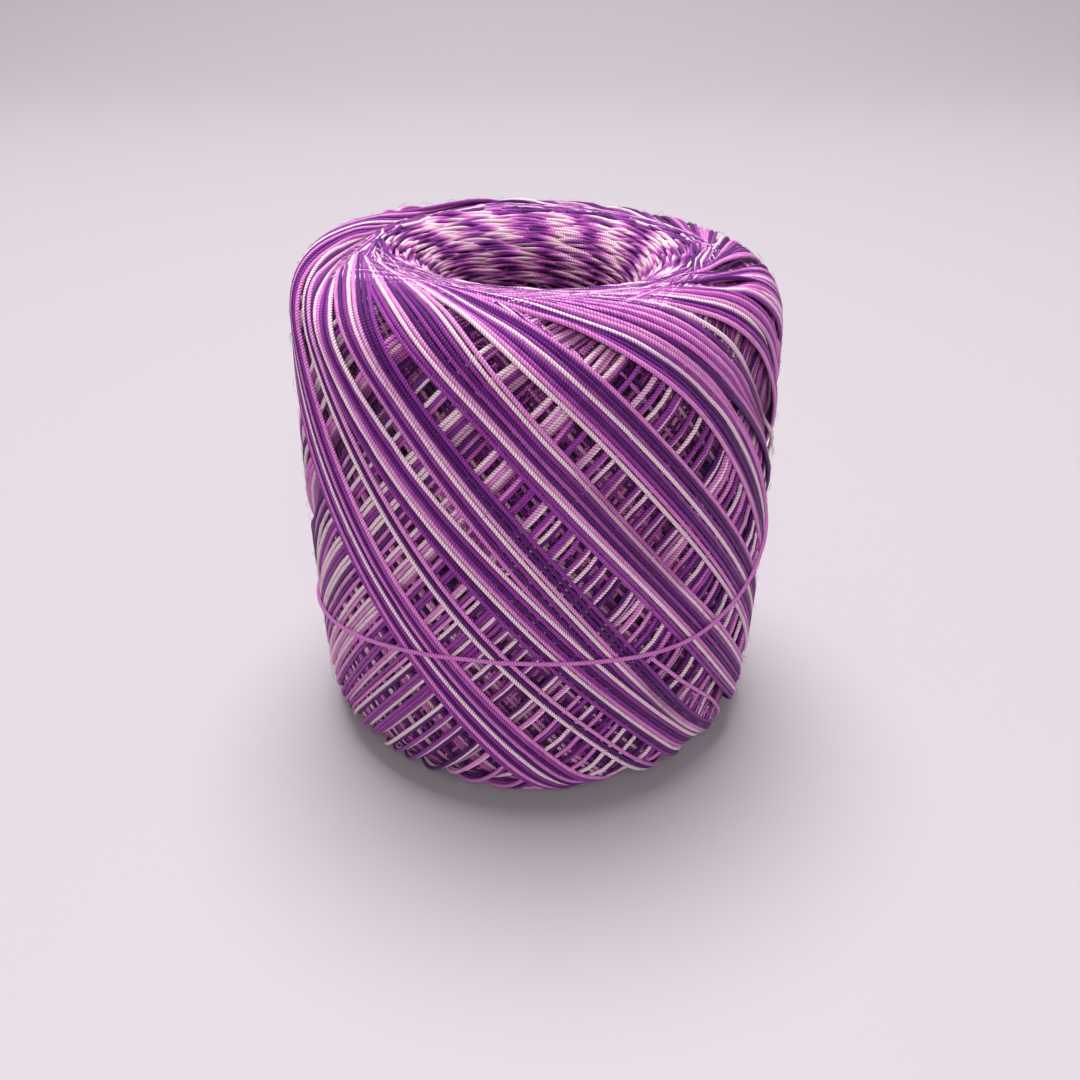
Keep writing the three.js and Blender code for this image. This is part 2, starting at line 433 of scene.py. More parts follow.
def tube(points, normals, tones, shades, travelled, radius, closed, sides):
    """Rings of a thread, with faces between them and a map of length along it and turn round it. An
    open thread has an even number of sides, so that its ends close in faces of four corners."""
    count = len(points)
    if closed:
        ahead = np.roll(points, -1, axis=0) - np.roll(points, 1, axis=0)
    else:
        ahead = np.gradient(points, axis=0)
    ahead /= np.linalg.norm(ahead, axis=1, keepdims=True)
    across = np.cross(ahead, normals)
    across /= np.linalg.norm(across, axis=1, keepdims=True)
    outward = np.cross(across, ahead)
    turn = np.arange(sides) * (2 * math.pi / sides)
    radii = np.broadcast_to(radius, (count,))[:, None, None]
    rings = points[:, None, :] + radii * (
        np.cos(turn)[None, :, None] * across[:, None, :]
        + np.sin(turn)[None, :, None] * outward[:, None, :]
    )
    spans = count if closed else count - 1
    i = np.arange(spans)[:, None]
    j = np.arange(sides)[None, :]
    next_i = (i + 1) % count
    next_j = (j + 1) % sides
    faces = np.stack(
        [i * sides + j, i * sides + next_j, next_i * sides + next_j, next_i * sides + j], axis=2
    ).reshape(-1, 4)
    reach = travelled
    if closed:
        reach = np.append(travelled, travelled[-1] + (travelled[-1] - travelled[-2]))
        whole = round(reach[-1] / PLY_STEP) * PLY_STEP
        reach = reach * (whole / reach[-1])
    start, end = reach[:-1, None], reach[1:, None]
    low, high = j / sides, (j + 1) / sides
    shape = (spans, sides)
    corners = [(start, low), (start, high), (end, high), (end, low)]
    mapped = [np.stack([np.broadcast_to(u, shape), np.broadcast_to(v, shape)], 2) for u, v in corners]
    placed = np.stack(mapped, axis=2).reshape(-1, 2)
    if not closed:
        fan = np.array([(0, k, k + 1, k + 2) for k in range(1, sides - 1, 2)])
        first, last = fan[:, ::-1], fan + (count - 1) * sides
        faces = np.concatenate([faces, first, last])
        for ring, at in ((first, reach[0]), (last, reach[-1])):
            turned = (ring % sides).reshape(-1) / sides
            placed = np.concatenate([placed, np.stack([np.full(len(turned), at), turned], axis=1)])
    return {
        "points": rings.reshape(-1, 3),
        "faces": faces,
        "map": placed,
        "dye": np.repeat(tones, sides),
        "shade": np.repeat(shades, sides),
    }


MOST_STRIPS = 40  # that one thread is cut into
STRIP_OVERLAP = 1.06  # a strip's row is this much longer than the strip
STRIP_MARGIN = 0.05  # clear above and below a strip, as a share of its row
MAP_EDGE, MAP_WIDTH = 0.002, 0.99


def strips(parts):
    """A map with no overlaps: every thread is cut into strips of equal length, one over another."""
    lengths = [part["map"][:, 0].max() for part in parts]
    width = max(math.sqrt(sum(lengths) * 2 * THREAD_RADIUS), max(lengths) / MOST_STRIPS)
    rows = [math.ceil(length / width) for length in lengths]
    height = 1 / sum(rows)
    placed = []
    base = 0
    for part, length, count in zip(parts, lengths, rows):
        along = part["map"][:, 0].reshape(-1, 4)
        turn = part["map"][:, 1].reshape(-1, 4)
        per_row = length / count
        row = np.minimum((along.mean(axis=1) / per_row).astype(int), count - 1)[:, None]
        share = np.clip((along - row * per_row) / (per_row * STRIP_OVERLAP), 0, 1)
        u = MAP_EDGE + MAP_WIDTH * share
        v = (base + row + STRIP_MARGIN + (1 - 2 * STRIP_MARGIN) * turn) * height
        placed.append(np.stack([u, v], axis=2).reshape(-1, 2))
        base += count
    return np.concatenate(placed)


BEND_POINTS = 5  # to each side that a bend is measured over
BEND_BELL = 4  # points that it is smoothed over
BEND_SIZE = 0.04  # millimetres of bend that weigh 1
STRAIGHT_WEIGHT, MOST_BEND_WEIGHT = 0.3, 3.0


def chosen(points, spacing, travelled):
    """Indices of the points to keep: close where the thread bends, sparse where it runs straight."""
    beside = np.roll(points, BEND_POINTS, axis=0) + np.roll(points, -BEND_POINTS, axis=0)
    bend = blur(np.linalg.norm(beside - 2 * points, axis=1), BEND_BELL)
    weight = STRAIGHT_WEIGHT + np.minimum(np.sqrt(bend / BEND_SIZE), MOST_BEND_WEIGHT)
    total = np.cumsum(weight)
    count = int(travelled[-1] / spacing)
    return np.unique(np.searchsorted(total, np.linspace(0, total[-1], count, endpoint=False)))


# The winding


def drift(size):
    """A smooth random drift along a closed line, as the sizes and phases of its waves."""
    count = len(DRIFT_WAVES)
    return rng.normal(0, size, count) / np.sqrt(DRIFT_WAVES), rng.uniform(0, 2 * math.pi, count)


def drifted(waves, count):
    sizes, phases = waves
    place = np.linspace(0, 2 * math.pi, count, endpoint=False)
    return (sizes[:, None] * np.sin(DRIFT_WAVES[:, None] * place + phases[:, None])).sum(axis=0)


def new_wraps():
    """Wraps of the new bands: where they fall, their strays, tone, the radii at which they turn
    back at the top and at the bottom, and the drift that they share."""
    wraps = []
    for first, last, lip, shoulder, high, low, tones in NEW_BANDS:
        climb_high, climb_low = rng.normal(0, BAND_CLIMB_STRAY, (2, 2))
        together = drift(SHARED_DRIFT)
        depths = rng.uniform(*NEW_TURN_RADII, 2)
        count = len(tones)
        for i, tone in enumerate(tones):
            share = i / (count - 1)
            pairs = (climb_high, lip, shoulder, high, low, climb_low)
            strays = [pair[0] + (pair[1] - pair[0]) * share for pair in pairs]
            fall = first + (last - first) * share + rng.normal(0, WRAP_SHIFT)
            beside = NEW_TURN_STEP * (i - (count - 1) / 2)
            turns = (depths[0] - beside, depths[1] + beside)
            wraps.append((fall, strays, TONES[tone], turns, together))
    return wraps


def grouped_wraps(groups, turn_radius):
    """Wraps of the older layers, as new_wraps gives them."""
    wraps = []
    for start, end, pitch, count, tones in groups:
        for g in range(int((end - start) / pitch)):
            size = count + (1 if rng.random() < EXTRA_WRAP_CHANCE else 0)
            shift = rng.normal(0, GROUP_SHIFT)
            strays = rng.normal(0, GROUP_STRAY, 6)
            together = drift(SHARED_DRIFT)
            depths = turn_radius + rng.uniform(*GROUP_TURN_SPREAD, 2)
            for i in range(size):
                fall = start + g * pitch + i * THREAD_PITCH + shift + rng.normal(0, WRAP_SHIFT)
                tone = TONES[tones[(g * count + i) % len(tones)]]
                beside = GROUP_TURN_STEP * (i - (size - 1) / 2)
                turns = (depths[0] - beside, depths[1] + beside)
                wraps.append((fall, strays + rng.normal(0, WRAP_STRAY, 6), tone, turns, together))
    return wraps


def wind(skin, wraps, slack):
    """Lays these wraps under the skin, the newest first. Returns for each the azimuths, lengths, way
    travelled, heights and tones of its points."""
    laid = []
    for fall, strays, tone, turns, together in sorted(wraps, key=lambda wrap: wrap[0]):
        azimuth, length = wrap_line(fall, *turns, strays)
        azimuth, length, travelled = evenly(azimuth, length)
        count = len(azimuth)
        azimuth = azimuth + drifted(together, count) + drifted(drift(OWN_DRIFT), count)
        height = skin.lay_under(azimuth, length, slack)
        other = TONES["dvlc"[rng.integers(4)]]
        turned = np.abs((azimuth - fall) / QUARTER_TURN)
        on_fall = ease((CHARTED_QUARTERS - turned) / TONE_CHANGE)
        tones = other + (tone - other) * on_fall + drifted(drift(TONE_DRIFT), count)
        laid.append((azimuth, length, travelled, height, np.clip(tones, 0, 1)))
    return laid


skin = Skin()
new = wind(skin, new_wraps(), NEW_SLACK)
old = wind(skin, grouped_wraps(OLD_GROUPS, OLD_TURN_RADIUS), OLD_SLACK)
buried = wind(skin, grouped_wraps(BURIED_GROUPS, BURIED_TURN_RADIUS), BURIED_SLACK)
deepest = wind(skin, grouped_wraps(DEEPEST_GROUPS, DEEPEST_TURN_RADIUS), BURIED_SLACK)
skin.settle()

CREST_BELL = 9  # points of a thread's line over which the crest below it is smoothed
TOP_HEIGHT = -0.14  # threads that rise over this height are pressed down again,
TOP_PRESS = 0.3  # to this share of what they rise
SHADE_FROM = 0.7  # depth from which threads are shaded,
SHADE_OVER = 1.0  # and fully so after this much more


def strands_of(name, laid, sides, spacing):
    """The threads of one layer, with a point every spacing millimetres or so."""
    strands = Strands(name, sides)
    for azimuth, length, travelled, height, tones in laid:
        raised = packed(height) - blur(skin.crest[skin.cells(azimuth, length)], CREST_BELL)
        pressed = TOP_HEIGHT + TOP_PRESS * (raised - TOP_HEIGHT)
        raised = np.where(raised > TOP_HEIGHT, pressed, raised)
        points, normals = on_skin(azimuth, length, raised)
        # painted shade: threads darken with their depth below the skin
        shades = 1 - ease((-raised - SHADE_FROM) / SHADE_OVER)
        keep = chosen(points, spacing, travelled)
        kept = [row[keep] for row in (points, normals, tones, travelled)]
        strands.add(*kept, closed=True, shades=shades[keep])
    return strands


# The funnels: the old wraps show there only where they turn back, as short straight turns whose
# ends dip under their neighbours

FUNNEL_ROW = 0.47  # between the rows of turns
FUNNEL_FROM = 2.4  # the turns begin this far inside the lip
FUNNEL_THREAD = 0.235  # radius of the thread
TURN_SINK = 0.3  # the middle of a turn lies this far below the skin
TURN_POINTS = 13
TURN_PITCH = 17.0  # degrees between the turns of a row,
TURN_WIDENS = 0.8  # and this share more deep in the funnel,
DEEP_FROM, DEEP_OVER = 8, 6  # from this far inside the lip on, over this length
TURN_REACH = (1.0, 1.4)  # least and most half length of a turn, in pitches
TURN_TILT = 0.12  # slope of a turn
TURN_DROP = 0.03  # how the ends of a turn curve down
TURN_FULLNESS, TURN_TAPER = 1.08, 0.4  # thickness in the middle and how much less at the ends
TURN_SHIFT = 0.12  # spread of a turn's place, in pitches
LEVEL_SPREAD = 0.09  # of its level, in millimetres
TILT_SPREAD = 0.03

DYE_PERIOD = 31.0  # degrees round the funnel in which the tones repeat
DYE_DRIFT = 2.2  # degrees that the tones move round the funnel for every millimetre down
DYE_SHIFT = 4.0  # spread of that place, in degrees
DYE_MIDDLE, DYE_SWING = 0.64, 0.46  # mean tone, and how far the tones swing round it
DYE_SPREAD = 0.15  # from turn to turn
FUNNEL_SHADE = 0.75  # how much darker the funnel's foot is,
FUNNEL_SHADE_FROM, FUNNEL_SHADE_OVER = 4, 10  # from this far inside the lip on, over this length


def turn_line(centre, half, length):
    """A straight turn that touches the funnel's wall at this azimuth, half its length as an angle:
    its points, normals and how far each point lies from the middle."""
    away = np.linspace(-1, 1, TURN_POINTS) * radius_at(length) * math.tan(half)
    start, outward = one_place(centre, length + rng.normal(0, LEVEL_SPREAD), -TURN_SINK)
    a = math.radians(centre)
    ahead = np.array([-math.sin(a), math.cos(a), 0.0])
    tilt = TURN_TILT + rng.normal(0, TILT_SPREAD)
    points = start + away[:, None] * ahead
    points[:, 2] += tilt * away - TURN_DROP * away**2
    return points, np.repeat(outward, len(points), axis=0), away


def turn_tones(centre, length, away):
    """Tones along a turn: the dye's columns run down the funnel, a little aslant."""
    passed = centre + np.degrees(np.arctan(away / radius_at(length))) + rng.normal(0, DYE_SHIFT)
    phase = (passed + DYE_DRIFT * (length - LIP_LENGTH)) / DYE_PERIOD
    tones = DYE_MIDDLE + DYE_SWING * np.cos(2 * math.pi * phase) + rng.normal(0, DYE_SPREAD)
    return np.clip(tones, 0, 1)


def funnel_turns(name, top):
    strands = Strands(name, 6)
    taper = FUNNEL_THREAD * (TURN_FULLNESS - TURN_TAPER * np.linspace(-1, 1, TURN_POINTS) ** 2)
    for row in range(int((NECK_LENGTH - LIP_LENGTH - FUNNEL_FROM) / FUNNEL_ROW)):
        length = NECK_LENGTH - row * FUNNEL_ROW
        deep = ease((length - LIP_LENGTH - DEEP_FROM) / DEEP_OVER)
        shade = 1 - FUNNEL_SHADE * ease((length - LIP_LENGTH - FUNNEL_SHADE_FROM) / FUNNEL_SHADE_OVER)
        count = round(360 / (TURN_PITCH * (1 + TURN_WIDENS * deep)))
        for turn in range(count):
            centre = (turn + row % 2 / 2 + rng.normal(0, TURN_SHIFT)) * 360 / count
            half = math.radians(360 / count * rng.uniform(*TURN_REACH))
            points, normals, away = turn_line(centre, half, length)
            tones = turn_tones(centre, length, away)
            if not top:
                points = points * (1, -1, -1) + (0, 0, BALL_HEIGHT)
                normals = normals * (1, -1, -1)
            shades = np.full(len(points), shade)
            strands.add(points, normals, tones, np.abs(away - away[0]), taper, shades=shades)
    return strands


BORE_THREADS = 34  # each way round the open middle
BORE_TWIST = 4.2  # degrees that they move round for every millimetre down
BORE_OVERLAP = 2.5  # they begin and end this far up each funnel
BORE_LINE_POINTS = 26
BORE_HEIGHTS = {1: -0.8, -1: -1.3}  # of the threads that run each way round
BORE_SHIFT = 0.15  # spread of a thread's start, in pitches
BORE_STRAY = 0.4  # and from point to point, in degrees
BORE_TONES = (0, 0.8)  # least and most tone
BORE_TONE_DRIFT = 0.1


def bore_threads(name):
    """The first wraps, which crossed on the spindle and line the open middle."""
    strands = Strands(name, 6)
    count = BORE_LINE_POINTS
    top = NECK_LENGTH - BORE_OVERLAP
    length = np.linspace(top, 2 * WHOLE_LENGTH - top, count)
    folded = np.where(length > WHOLE_LENGTH, length - 2 * WHOLE_LENGTH, length)
    for way, height in BORE_HEIGHTS.items():
        for i in range(BORE_THREADS):
            start = (i + rng.normal(0, BORE_SHIFT)) * 360 / BORE_THREADS
            twist = way * BORE_TWIST * (length - NECK_LENGTH)
            azimuth = start + twist + np.cumsum(rng.normal(0, BORE_STRAY, count))
            points, normals = on_skin(azimuth, folded, np.full(count, height))
            whole = np.linalg.norm(np.diff(points, axis=0), axis=1).sum()
            tones = rng.uniform(*BORE_TONES) + drifted(drift(BORE_TONE_DRIFT), count)
            travelled = np.linspace(0, 1, count) * whole
            # painted shade: the threads of the open middle are fully shaded
            strands.add(points, normals, np.clip(tones, 0, 1), travelled, shades=np.zeros(count))
    return strands


# The last turn, which binds the ball, and the end of thread that leaves it

# Azimuth and height of the binding turn
BINDING_LINE = [
    (-180, 17.6), (-165, 18.8), (-152, 20.0), (-143, 21.0), (-136, 21.8), (-122, 23.3), (-110, 24.3),
    (-98, 24.7), (-85, 24.8), (-72, 24.5), (-62, 24.0), (-50, 24.2), (-34, 26.5), (-13, 29.8),
    (0, 31.8), (30, 35.0), (70, 34.0), (110, 28.0), (150, 20.6), (165, 18.2), (180, 17.6),
]
BINDING_STEP = 3.0  # degrees between its points,
BINDING_BELL = 1.5  # which are smoothed over this many
BINDING_TONE = 0.6

# Azimuth and height of the stray end, from the binding turn down
STRAY_LINE = [(-64.0, 23.4), (-53.6, 17.2), (-46.2, 13.3), (-38.7, 9.4), (-32.8, 5.3), (-27.5, 1.6)]
STRAY_TONE = 0.7

LAST_SLACK = 0.03  # how readily both dip between the threads that they cross
LAST_CLEARANCE = 0.05  # between them and these threads, in millimetres
LAST_SPACING = 5  # of the line's points, one in so many is kept


def lay_over_all(places, closed):
    """Points, normals and way travelled of a thread that runs over the others through these places."""
    azimuth = np.array([place[0] for place in places], float)
    rise = np.array([place[1] for place in places], float) - BALL_HEIGHT / 2
    side = np.abs(SKIN_LENGTH) <= LIP_LENGTH
    length = np.interp(rise, SKIN_RISE[side], SKIN_LENGTH[side])
    azimuth, length, travelled = evenly(azimuth, length, closed)
    height = skin.lay_over(azimuth, length, LAST_SLACK, closed) + LAST_CLEARANCE
    points, normals = on_skin(azimuth, length, height)
    return points[::LAST_SPACING], normals[::LAST_SPACING], travelled[::LAST_SPACING]


def binding_places():
    azimuths = np.arange(-180, 180, BINDING_STEP)
    heights = np.interp(azimuths, *zip(*BINDING_LINE))
    return list(zip(azimuths, blur(heights, BINDING_BELL)))


def binding_turn(name):
    strands = Strands(name, 8)
    lines = [(binding_places(), BINDING_TONE, True), (STRAY_LINE, STRAY_TONE, False)]
    for places, tone, closed in lines:
        points, normals, travelled = lay_over_all(places, closed)
        strands.add(points, normals, np.full(len(points), tone), travelled, closed=closed)
    return strands


# Fine fibres that stand off the thread

LOOSE_FIBRES = 1500
FIBRE_RADIUS = 0.017
FIBRE_POINTS = 6
FIBRE_ROOT = 0.3  # depth below the skin at which a fibre starts
FIBRE_PAST_LIP = 5  # how far down the top funnel fibres grow
FIBRE_REACH = (0.5, 1.5)  # least and most length,
FIBRE_RISE = (0.3, 0.7)  # rise off the skin
FIBRE_ARC = (1.5, 2.8)  # and bend of that rise, in radians
FIBRE_CURL = 0.8  # spread of its sideways bend, as a share of its length
FIBRE_TONES = (0.2, 0.75)


def loose_fibres(name):
    strands = Strands(name, 4)
    step = np.linspace(0, 1, FIBRE_POINTS)
    for _ in range(LOOSE_FIBRES):
        azimuth = rng.uniform(0, 360)
        length = rng.uniform(-LIP_LENGTH, LIP_LENGTH + FIBRE_PAST_LIP)
        start, outward = one_place(azimuth, length, -FIBRE_ROOT)
        along = np.cross(rng.normal(0, 1, 3), outward[0])
        along /= np.linalg.norm(along)
        aside = np.cross(outward[0], along)
        reach = rng.uniform(*FIBRE_REACH)
        rise = rng.uniform(*FIBRE_RISE)
        curl = rng.normal(0, FIBRE_CURL)
        points = start + reach * step[:, None] * along + reach * curl * step[:, None] ** 2 * aside
        points = points + rise * np.sin(step * rng.uniform(*FIBRE_ARC))[:, None] * outward
        tones = np.full(FIBRE_POINTS, rng.uniform(*FIBRE_TONES))
        normals = np.repeat(outward, FIBRE_POINTS, axis=0)
        strands.add(points, normals, tones, step * reach, FIBRE_RADIUS)
    return strands


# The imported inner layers

INNER_ROWS, INNER_COLUMNS = 240, 128
SIDE_SINK = 1.9  # how far the inner layers lie below the skin on the side,
FUNNEL_RISE = 0.8  # how much less in the funnels, from 2 mm inside the lip on, over 3 mm,
BORE_SINK = 0.6  # and how much more in the open middle, over 2 mm


def add_inner_body(material):
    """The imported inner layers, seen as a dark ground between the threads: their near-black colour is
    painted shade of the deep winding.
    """
    lengths = np.linspace(-WHOLE_LENGTH, WHOLE_LENGTH, INNER_ROWS, endpoint=False)
    azimuths = np.arange(INNER_COLUMNS) * (360 / INNER_COLUMNS)
    rows = []
    for length in lengths:
        in_funnel = float(ease((abs(length) - LIP_LENGTH - 2) / 3))
        in_bore = float(ease((abs(length) - NECK_LENGTH) / 2))
        sink = SIDE_SINK - FUNNEL_RISE * in_funnel + BORE_SINK * in_bore
        level = np.full(INNER_COLUMNS, length)
        points, _ = on_skin(azimuths, level, np.full(INNER_COLUMNS, -sink))
        rows.append(points)
    i = np.arange(INNER_ROWS)[:, None] * INNER_COLUMNS
    j = np.arange(INNER_COLUMNS)[None, :]
    above = (i + INNER_COLUMNS) % (INNER_ROWS * INNER_COLUMNS)
    beside = (j + 1) % INNER_COLUMNS
    faces = np.stack([i + j, i + beside, above + beside, above + j], axis=2).reshape(-1, 4)
    mesh = bpy.data.meshes.new("inner_layers")
    mesh.from_pydata(np.concatenate(rows) * MM, [], faces)
    add_piece(mesh, material)


# Camera, floor and light, in metres and watts

CAMERA_PLACE = (0.00033, -0.13716, 0.10171)
CAMERA_DOWN = 0.518  # radians that it looks down from level
LENS = 36.0  # millimetres, and the same for the width of the sensor

FLOOR_COLOUR = (174, 167, 173)
FLOOR_ROUGHNESS = 0.7
FLOOR_WIDTH = 6.0
FLOOR_FRONT, FLOOR_BACK = -2.0, 1.65
FLOOR_HEIGHT = 3.0  # top of the sweep behind the ball
FLOOR_BEND = 1.0  # radius of the bend between floor and wall
BEND_STEPS = 16

ROOM_COLOUR = (238, 234, 240)
ROOM_STRENGTH = 0.27


def srgb(red, green, blue):
    """Linear colour of an 8-bit colour."""
    found = []
    for value in (red, green, blue):
        v = value / 255
        found.append(v / 12.92 if v <= 0.04045 else ((v + 0.055) / 1.055) ** 2.4)
    return (*found, 1.0)


def add_plain_material(name, colour, roughness):
    material = bpy.data.materials.new(name)
    material.use_nodes = True
    shader = material.node_tree.nodes["Principled BSDF"]
    shader.inputs["Base Color"].default_value = srgb(*colour)
    shader.inputs["Roughness"].default_value = roughness
    return material


def add_camera():
    data = bpy.data.cameras.new("camera")
    data.lens = LENS
    data.sensor_width = LENS
    camera = bpy.data.objects.new("camera", data)
    camera.location = CAMERA_PLACE
    camera.rotation_euler = (math.pi / 2 - CAMERA_DOWN, 0, 0)
    bpy.context.scene.collection.objects.link(camera)
    bpy.context.scene.camera = camera


def add_floor():
    """A pale sweep: a floor that curves up behind the ball."""
    bend_start = FLOOR_BACK - FLOOR_BEND
    outline = [(FLOOR_FRONT, 0.0), (bend_start, 0.0)]
    for i in range(1, BEND_STEPS + 1):
        angle = i / BEND_STEPS * math.pi / 2
        ahead = bend_start + FLOOR_BEND * math.sin(angle)
        outline.append((ahead, FLOOR_BEND - FLOOR_BEND * math.cos(angle)))
    outline.append((FLOOR_BACK, FLOOR_HEIGHT))
    points = [(x, y, z) for y, z in outline for x in (-FLOOR_WIDTH / 2, FLOOR_WIDTH / 2)]
    faces = [(2 * i, 2 * i + 1, 2 * i + 3, 2 * i + 2) for i in range(len(outline) - 1)]
    mesh = bpy.data.meshes.new("floor")
    mesh.from_pydata(points, [], faces)
    mesh.polygons.foreach_set("use_smooth", np.ones(len(faces), bool))
    mesh.materials.append(add_plain_material("pale_floor", FLOOR_COLOUR, FLOOR_ROUGHNESS))
    floor = bpy.data.objects.new("floor", mesh)
    bpy.context.scene.collection.objects.link(floor)


def add_area(name, place, target, size, power, colour):
    data = bpy.data.lights.new(name, "AREA")
    data.shape = "DISK"
    data.size = size
    data.energy = power
    data.color = colour
    light = bpy.data.objects.new(name, data)
    light.location = place
    light.rotation_euler = (Vector(target) - Vector(place)).to_track_quat("-Z", "Y").to_euler()
    bpy.context.scene.collection.objects.link(light)


def add_lights():
    world = bpy.data.worlds.new("studio")
    world.use_nodes = True
    background = world.node_tree.nodes["Background"]
    background.inputs["Color"].default_value = srgb(*ROOM_COLOUR)
    background.inputs["Strength"].default_value = ROOM_STRENGTH
    bpy.context.scene.world = world
    add_area(
        "overhead",
        place=(-0.05, 0.28, 1.35),
        target=(0, 0, 0.03),
        size=0.9,
        power=30.0,
        colour=(1.0, 0.985, 0.99),
    )
    add_area(
        "front",
        place=(0.05, -1.0, 0.7),
        target=(0, 0, 0.045),
        size=0.7,
        power=6.6,
        colour=(1.0, 0.985, 0.98),
    )


# Materials

DYE_COLOURS = [
    (DEEP, srgb(88, 10, 108)),
    (VIOLET, srgb(152, 56, 160)),
    (LILAC, srgb(230, 136, 214)),
    (CREAM, srgb(255, 228, 236)),
]
MOTTLE_SCALE = 900.0
MOTTLE = 0.16  # how far the dye varies within a tone
FIBRE_STRETCH = 0.35  # fibres in a ply are drawn out along the thread
FIBRE_SIZE, FIBRE_HEIGHT = 9.0, 0.25
GROOVE_SHARPNESS = 0.6
GROOVE_SHADE_TINT = (0.34, 0.2, 0.34, 1.0)  # painted shade: multiplies the dye in the grooves between the plies, where shade falls
# how strongly the painted shade darkens the dye in the grooves
GROOVE_SHADE_AMOUNT = 0.8
DEEP_SHADE_TINT = (0.4, 0.15, 0.36, 1.0)  # painted shade: multiplies the dye deep in the winding, where shade falls
WHITE = (1.0, 1.0, 1.0, 1.0)
THREAD_ROUGHNESS, THREAD_SPECULAR = 0.55, 0.22  # cotton with a slight lustre
SHEEN, SHEEN_ROUGHNESS = 0.08, 0.4
SHEEN_TINT = (1.0, 0.85, 1.0, 1.0)
BUMP_STRENGTH, BUMP_DISTANCE = 0.9, 0.09  # the second in millimetres
# painted shade: the inner layers are the same thread, coloured near black for the shade deep in the
# winding
INNER_SHADE_COLOUR, INNER_ROUGHNESS = (30, 5, 32), 0.9


def add_group(name, inputs, outputs):
    """A node group with these named inputs and outputs, with its two end nodes."""
    group = bpy.data.node_groups.new(name, "ShaderNodeTree")
    for label, value in inputs:
        socket = group.interface.new_socket(label, in_out="INPUT", socket_type="NodeSocketFloat")
        socket.default_value = value
    for label in outputs:
        group.interface.new_socket(label, in_out="OUTPUT", socket_type="NodeSocketFloat")
    return group, group.nodes.new("NodeGroupInput"), group.nodes.new("NodeGroupOutput")


def feed(tree, socket, value):
    """Links the socket to another node's output, or gives it a constant."""
    if isinstance(value, bpy.types.NodeSocket):
        tree.links.new(value, socket)
    else:
        socket.default_value = value


def math_node(tree, operation, *values):
    node = tree.nodes.new("ShaderNodeMath")
    node.operation = operation
    for socket, value in zip(node.inputs, values):
        feed(tree, socket, value)
    return node.outputs[0]


def mix_node(tree, blend, factor, first, second):
    node = tree.nodes.new("ShaderNodeMix")
    node.data_type = "RGBA"
    node.blend_type = blend
    for label, value in (("Factor", factor), ("A", first), ("B", second)):
        feed(tree, node.inputs[label], value)
    return node.outputs["Result"]


def attribute_node(tree, name):
    node = tree.nodes.new("ShaderNodeAttribute")
    node.attribute_name = name
    return node.outputs["Fac"]


def add_ply_twist():
    """Plies twisted round a thread: their height across it and the painted shade in the grooves
    between.
    """
    group, given, made = add_group(
        "ply_twist",
        [
            ("Ply Step", PLY_STEP),
            ("Plies", PLIES),
            ("Fibre Size", FIBRE_SIZE),
            ("Fibre Height", FIBRE_HEIGHT),
        ],
        ["Height", "Groove Shade"],
    )
    place = group.nodes.new("ShaderNodeUVMap")
    place.uv_map = "thread"
    parts = group.nodes.new("ShaderNodeSeparateXYZ")
    group.links.new(place.outputs["UV"], parts.inputs[0])
    steps = math_node(group, "DIVIDE", parts.outputs["X"], given.outputs["Ply Step"])
    turns = math_node(group, "MULTIPLY", parts.outputs["Y"], given.outputs["Plies"])
    phase = math_node(group, "ADD", steps, turns)
    angle = math_node(group, "MULTIPLY", phase, math.pi)
    round_top = math_node(group, "ABSOLUTE", math_node(group, "SINE", angle))
    stretched = group.nodes.new("ShaderNodeCombineXYZ")
    lengthwise = math_node(group, "MULTIPLY", parts.outputs["X"], FIBRE_STRETCH)
    group.links.new(lengthwise, stretched.inputs["X"])
    group.links.new(phase, stretched.inputs["Y"])
    fibres = group.nodes.new("ShaderNodeTexNoise")
    fibres.inputs["Detail"].default_value = 2.0
    group.links.new(stretched.outputs[0], fibres.inputs["Vector"])
    group.links.new(given.outputs["Fibre Size"], fibres.inputs["Scale"])
    rough = math_node(group, "MULTIPLY", fibres.outputs["Fac"], given.outputs["Fibre Height"])
    group.links.new(math_node(group, "ADD", round_top, rough), made.inputs["Height"])
    rounded = math_node(group, "POWER", round_top, GROOVE_SHARPNESS)
    group.links.new(math_node(group, "SUBTRACT", 1.0, rounded), made.inputs["Groove Shade"])
    return group


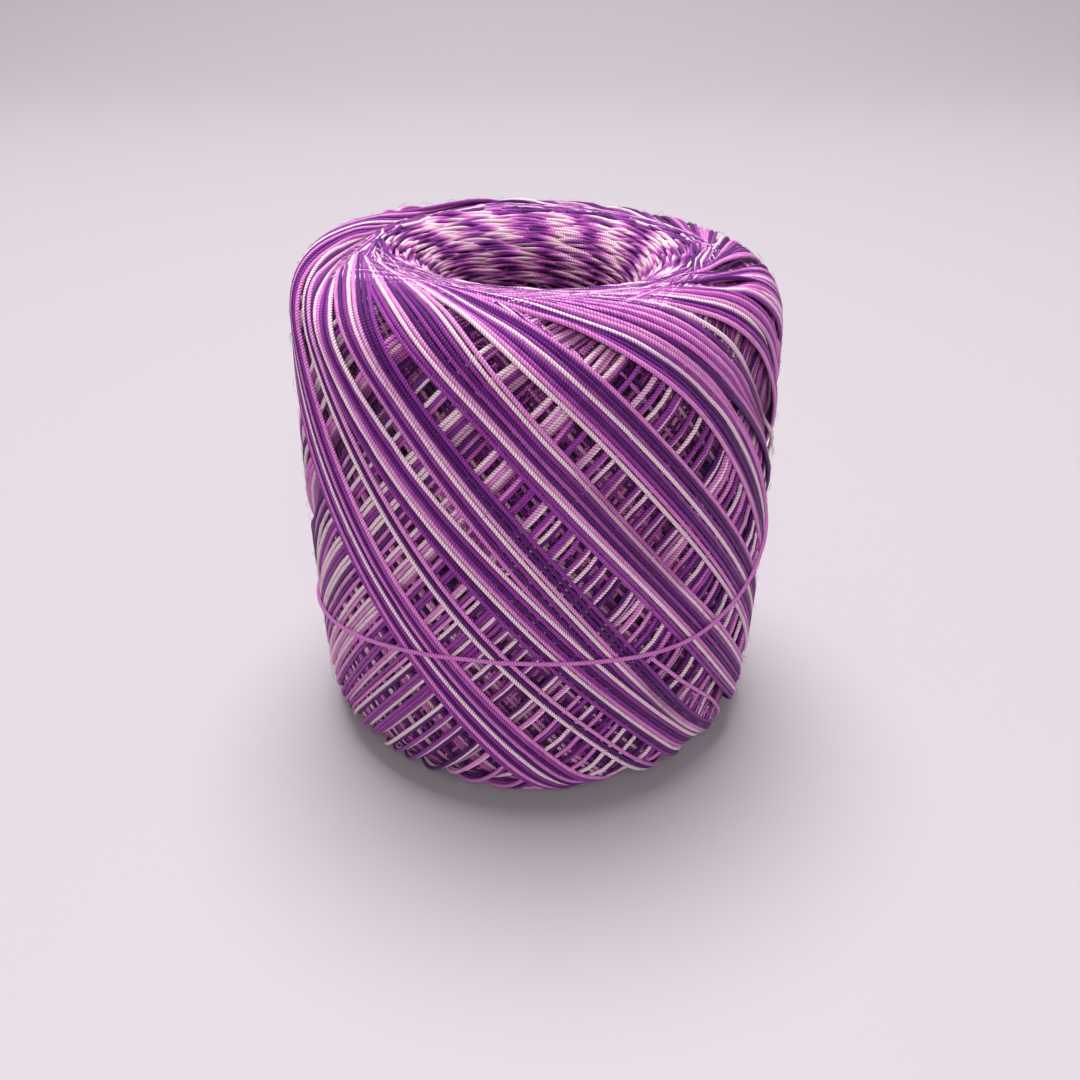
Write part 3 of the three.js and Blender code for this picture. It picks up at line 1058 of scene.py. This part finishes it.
def dye_colour(tree):
    """Colour of the dye along the thread, a little uneven within each tone."""
    place = tree.nodes.new("ShaderNodeTexCoord")
    mottle = tree.nodes.new("ShaderNodeTexNoise")
    mottle.inputs["Scale"].default_value = MOTTLE_SCALE
    mottle.inputs["Detail"].default_value = 3.0
    tree.links.new(place.outputs["Object"], mottle.inputs["Vector"])
    uneven = math_node(tree, "MULTIPLY_ADD", mottle.outputs["Fac"], MOTTLE, -MOTTLE / 2)
    ramp = tree.nodes.new("ShaderNodeValToRGB")
    elements = ramp.color_ramp.elements
    while len(elements) < len(DYE_COLOURS):
        elements.new(0.5)
    for element, (position, colour) in zip(elements, DYE_COLOURS):
        element.position = position
        element.color = colour
    tree.links.new(math_node(tree, "ADD", attribute_node(tree, "dye"), uneven), ramp.inputs["Fac"])
    return ramp.outputs["Color"]


def add_thread_material(name, ply_twist):
    material = bpy.data.materials.new(name)
    material.use_nodes = True
    tree = material.node_tree
    shader = tree.nodes["Principled BSDF"]
    shader.inputs["Roughness"].default_value = THREAD_ROUGHNESS
    shader.inputs["Specular IOR Level"].default_value = THREAD_SPECULAR
    shader.inputs["Sheen Weight"].default_value = SHEEN
    shader.inputs["Sheen Roughness"].default_value = SHEEN_ROUGHNESS
    shader.inputs["Sheen Tint"].default_value = SHEEN_TINT
    twist = tree.nodes.new("ShaderNodeGroup")
    twist.node_tree = ply_twist
    # painted shade: the dye is darkened in the grooves between the plies
    groove_shade = math_node(tree, "MULTIPLY", twist.outputs["Groove Shade"], GROOVE_SHADE_AMOUNT)
    groove_shaded = mix_node(tree, "MULTIPLY", groove_shade, dye_colour(tree), GROOVE_SHADE_TINT)
    # painted shade: the shade attribute darkens and tints the dye deep in the winding
    shade = mix_node(tree, "MIX", attribute_node(tree, "shade"), DEEP_SHADE_TINT, WHITE)
    tree.links.new(mix_node(tree, "MULTIPLY", 1.0, groove_shaded, shade), shader.inputs["Base Color"])
    bump = tree.nodes.new("ShaderNodeBump")
    bump.inputs["Strength"].default_value = BUMP_STRENGTH
    bump.inputs["Distance"].default_value = BUMP_DISTANCE * MM
    tree.links.new(twist.outputs["Height"], bump.inputs["Height"])
    tree.links.new(bump.outputs["Normal"], shader.inputs["Normal"])
    return material


add_camera()
add_floor()
add_lights()
bpy.context.scene.view_settings.view_transform = "Standard"
thread = add_thread_material("variegated_thread", add_ply_twist())
strands_of("new_bands", new, sides=8, spacing=2.0).build(thread)
strands_of("old_wraps", old, sides=6, spacing=2.2).build(thread)
strands_of("buried_wraps", buried, sides=6, spacing=2.7).build(thread)
strands_of("deepest_wraps", deepest, sides=5, spacing=3.4).build(thread)
funnel_turns("top_funnel_turns", top=True).build(thread)
funnel_turns("bottom_funnel_turns", top=False).build(thread)
bore_threads("bore_threads").build(thread)
binding_turn("binding_turn").build(thread)
loose_fibres("loose_fibres").build(thread)
add_inner_body(add_plain_material("inner_thread_shade", INNER_SHADE_COLOUR, INNER_ROUGHNESS))
